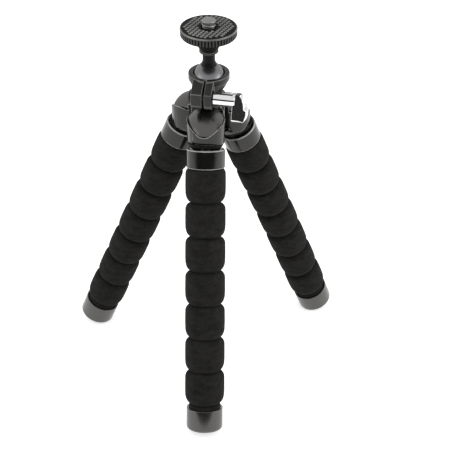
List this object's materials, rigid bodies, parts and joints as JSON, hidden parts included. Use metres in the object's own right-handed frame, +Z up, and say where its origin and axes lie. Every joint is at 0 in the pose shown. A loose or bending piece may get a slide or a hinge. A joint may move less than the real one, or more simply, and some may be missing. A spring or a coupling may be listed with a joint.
{
  "type": "flexible leg tripod",
  "caption": "Small table tripod with bendable foam-covered legs that can wrap around things, a lockable ball head and a round camera plate with a quarter-inch stud.",
  "frame": {"origin": "on the standing plane, under the hub's axis", "axes": "+Z up along the hub axis, -Y towards the front leg, +X to the right"},
  "size_m": [0.131, 0.1149, 0.183],
  "materials": {
    "black_gloss": "glossy black",
    "black_satin": "satin black",
    "foam": "matt closed-cell foam",
    "pad_rubber": "matt ribbed rubber",
    "dark_metal": "satin dark grey",
    "ball_steel": "polished",
    "chrome": "bright polished",
    "steel": "plain",
    "wire": "soft bendable wire",
    "liner": "plain"
  },
  "bodies": {
    "hub_body": {"hub": "black_gloss", "lobe_caps": "black_gloss", "socket_rings": "black_satin", "hub_screw": "steel", "hub_cover": "black_gloss", "clamp_collar": "dark_metal", "clamp_bolt": "chrome", "lever_washer": "chrome"},
    "lever": {"lock_lever": "chrome"},
    "head_seat": {"ball_seat": "liner"},
    "head_stem": {"ball_stem": "ball_steel", "stop_ring": "dark_metal", "camera_screw": "steel"},
    "head_plate": {"camera_plate": "dark_metal", "plate_pad": "pad_rubber"},
    "root_front": {"leg_seat_front": "liner"},
    "upper_front": {"leg_ball_front": "steel", "leg_cup_front": "black_gloss", "core_wire_front": "wire", "foam_front_1": "foam"},
    "leg_front_2": {"foam_front_2": "foam"},
    "leg_front_3": {"foam_front_3": "foam"},
    "leg_front_4": {"foam_front_4": "foam"},
    "leg_front_5": {"foam_front_5": "foam"},
    "leg_front_6": {"foam_front_6": "foam"},
    "leg_front_7": {"foam_front_7": "foam", "foot_front": "black_satin"},
    "root_left": {"leg_seat_left": "liner"},
    "upper_left": {"leg_ball_left": "steel", "leg_cup_left": "black_gloss", "core_wire_left": "wire", "foam_left_1": "foam"},
    "leg_left_2": {"foam_left_2": "foam"},
    "leg_left_3": {"foam_left_3": "foam"},
    "leg_left_4": {"foam_left_4": "foam"},
    "leg_left_5": {"foam_left_5": "foam"},
    "leg_left_6": {"foam_left_6": "foam"},
    "leg_left_7": {"foam_left_7": "foam", "foot_left": "black_satin"},
    "root_right": {"leg_seat_right": "liner"},
    "upper_right": {"leg_ball_right": "steel", "leg_cup_right": "black_gloss", "core_wire_right": "wire", "foam_right_1": "foam"},
    "leg_right_2": {"foam_right_2": "foam"},
    "leg_right_3": {"foam_right_3": "foam"},
    "leg_right_4": {"foam_right_4": "foam"},
    "leg_right_5": {"foam_right_5": "foam"},
    "leg_right_6": {"foam_right_6": "foam"},
    "leg_right_7": {"foam_right_7": "foam", "foot_right": "black_satin"}
  },
  "joints": [
    {"name": "head_pan", "type": "hinge", "parent": "hub_body", "child": "head_seat", "pos_m": [0, 0, 0.1557], "axis": [0, 0, 1], "continuous": true},
    {"name": "head_tilt", "type": "hinge", "parent": "head_seat", "child": "head_stem", "pos_m": [0, 0, 0.1557], "axis": [1, 0, 0], "range_deg": [-45, 45]},
    {"name": "plate_spin", "type": "hinge", "parent": "head_stem", "child": "head_plate", "pos_m": [0, 0, 0.1794], "axis": [0, 0, 1], "continuous": true},
    {"name": "lever_turn", "type": "hinge", "parent": "hub_body", "child": "lever", "pos_m": [-0.00216, -0.01109, 0.1504], "axis": [0.9816, -0.1908, 0], "range_deg": [-120, 15]},
    {"name": "turn_front", "type": "hinge", "parent": "hub_body", "child": "root_front", "pos_m": [-0.00149, -0.01181, 0.1311], "axis": [0, 0, 1], "range_deg": [-30, 30]},
    {"name": "swing_front", "type": "hinge", "parent": "root_front", "child": "upper_front", "pos_m": [-0.00149, -0.01181, 0.1311], "axis": [-0.9998, 0.0192, 0], "range_deg": [-22.5, 20]},
    {"name": "bend_front_1", "type": "hinge", "parent": "upper_front", "child": "leg_front_2", "pos_m": [-0.00171, -0.02345, 0.10313], "axis": [0.9998, -0.0192, 0], "range_deg": [-25, 25], "deforming": ["core_wire_front"]},
    {"name": "bend_front_2", "type": "hinge", "parent": "leg_front_2", "child": "leg_front_3", "pos_m": [-0.00183, -0.0296, 0.08836], "axis": [0.0177, 0.923, -0.3843], "range_deg": [-25, 25], "deforming": ["core_wire_front"]},
    {"name": "bend_front_3", "type": "hinge", "parent": "leg_front_3", "child": "leg_front_4", "pos_m": [-0.00195, -0.03574, 0.07358], "axis": [0.9998, -0.0192, 0], "range_deg": [-25, 25], "deforming": ["core_wire_front"]},
    {"name": "bend_front_4", "type": "hinge", "parent": "leg_front_4", "child": "leg_front_5", "pos_m": [-0.00207, -0.04189, 0.05881], "axis": [0.0177, 0.923, -0.3843], "range_deg": [-25, 25], "deforming": ["core_wire_front"]},
    {"name": "bend_front_5", "type": "hinge", "parent": "leg_front_5", "child": "leg_front_6", "pos_m": [-0.00219, -0.04804, 0.04404], "axis": [0.9998, -0.0192, 0], "range_deg": [-25, 25], "deforming": ["core_wire_front"]},
    {"name": "bend_front_6", "type": "hinge", "parent": "leg_front_6", "child": "leg_front_7", "pos_m": [-0.00231, -0.05419, 0.02927], "axis": [0.0177, 0.923, -0.3843], "range_deg": [-25, 25], "deforming": ["core_wire_front"]},
    {"name": "turn_left", "type": "hinge", "parent": "hub_body", "child": "root_left", "pos_m": [-0.00948, 0.0072, 0.1311], "axis": [0, 0, 1], "range_deg": [-30, 30]},
    {"name": "swing_left", "type": "hinge", "parent": "root_left", "child": "upper_left", "pos_m": [-0.00948, 0.0072, 0.1311], "axis": [0.294, 0.9558, 0], "range_deg": [-22.5, 20]},
    {"name": "bend_left_1", "type": "hinge", "parent": "upper_left", "child": "leg_left_2", "pos_m": [-0.02061, 0.01062, 0.10313], "axis": [-0.294, -0.9558, 0], "range_deg": [-25, 25], "deforming": ["core_wire_left"]},
    {"name": "bend_left_2", "type": "hinge", "parent": "leg_left_2", "child": "leg_left_3", "pos_m": [-0.02649, 0.01243, 0.08836], "axis": [0.8824, -0.2715, -0.3843], "range_deg": [-25, 25], "deforming": ["core_wire_left"]},
    {"name": "bend_left_3", "type": "hinge", "parent": "leg_left_3", "child": "leg_left_4", "pos_m": [-0.03236, 0.01423, 0.07358], "axis": [-0.294, -0.9558, 0], "range_deg": [-25, 25], "deforming": ["core_wire_left"]},
    {"name": "bend_left_4", "type": "hinge", "parent": "leg_left_4", "child": "leg_left_5", "pos_m": [-0.03824, 0.01604, 0.05881], "axis": [0.8824, -0.2715, -0.3843], "range_deg": [-25, 25], "deforming": ["core_wire_left"]},
    {"name": "bend_left_5", "type": "hinge", "parent": "leg_left_5", "child": "leg_left_6", "pos_m": [-0.04412, 0.01785, 0.04404], "axis": [-0.294, -0.9558, 0], "range_deg": [-25, 25], "deforming": ["core_wire_left"]},
    {"name": "bend_left_6", "type": "hinge", "parent": "leg_left_6", "child": "leg_left_7", "pos_m": [-0.04999, 0.01966, 0.02927], "axis": [0.8824, -0.2715, -0.3843], "range_deg": [-25, 25], "deforming": ["core_wire_left"]},
    {"name": "turn_right", "type": "hinge", "parent": "hub_body", "child": "root_right", "pos_m": [0.01097, 0.00461, 0.1311], "axis": [0, 0, 1], "range_deg": [-30, 30]},
    {"name": "swing_right", "type": "hinge", "parent": "root_right", "child": "upper_right", "pos_m": [0.01097, 0.00461, 0.1311], "axis": [0.5563, -0.831, 0], "range_deg": [-22.5, 20]},
    {"name": "bend_right_1", "type": "hinge", "parent": "upper_right", "child": "leg_right_2", "pos_m": [0.02065, 0.01109, 0.10313], "axis": [-0.5563, 0.831, 0], "range_deg": [-25, 25], "deforming": ["core_wire_right"]},
    {"name": "bend_right_2", "type": "hinge", "parent": "leg_right_2", "child": "leg_right_3", "pos_m": [0.02576, 0.01451, 0.08836], "axis": [-0.7672, -0.5136, -0.3843], "range_deg": [-25, 25], "deforming": ["core_wire_right"]},
    {"name": "bend_right_3", "type": "hinge", "parent": "leg_right_3", "child": "leg_right_4", "pos_m": [0.03087, 0.01793, 0.07358], "axis": [-0.5563, 0.831, 0], "range_deg": [-25, 25], "deforming": ["core_wire_right"]},
    {"name": "bend_right_4", "type": "hinge", "parent": "leg_right_4", "child": "leg_right_5", "pos_m": [0.03598, 0.02135, 0.05881], "axis": [-0.7672, -0.5136, -0.3843], "range_deg": [-25, 25], "deforming": ["core_wire_right"]},
    {"name": "bend_right_5", "type": "hinge", "parent": "leg_right_5", "child": "leg_right_6", "pos_m": [0.04108, 0.02477, 0.04404], "axis": [-0.5563, 0.831, 0], "range_deg": [-25, 25], "deforming": ["core_wire_right"]},
    {"name": "bend_right_6", "type": "hinge", "parent": "leg_right_6", "child": "leg_right_7", "pos_m": [0.04619, 0.02819, 0.02927], "axis": [-0.7672, -0.5136, -0.3843], "range_deg": [-25, 25], "deforming": ["core_wire_right"]}
  ]
}
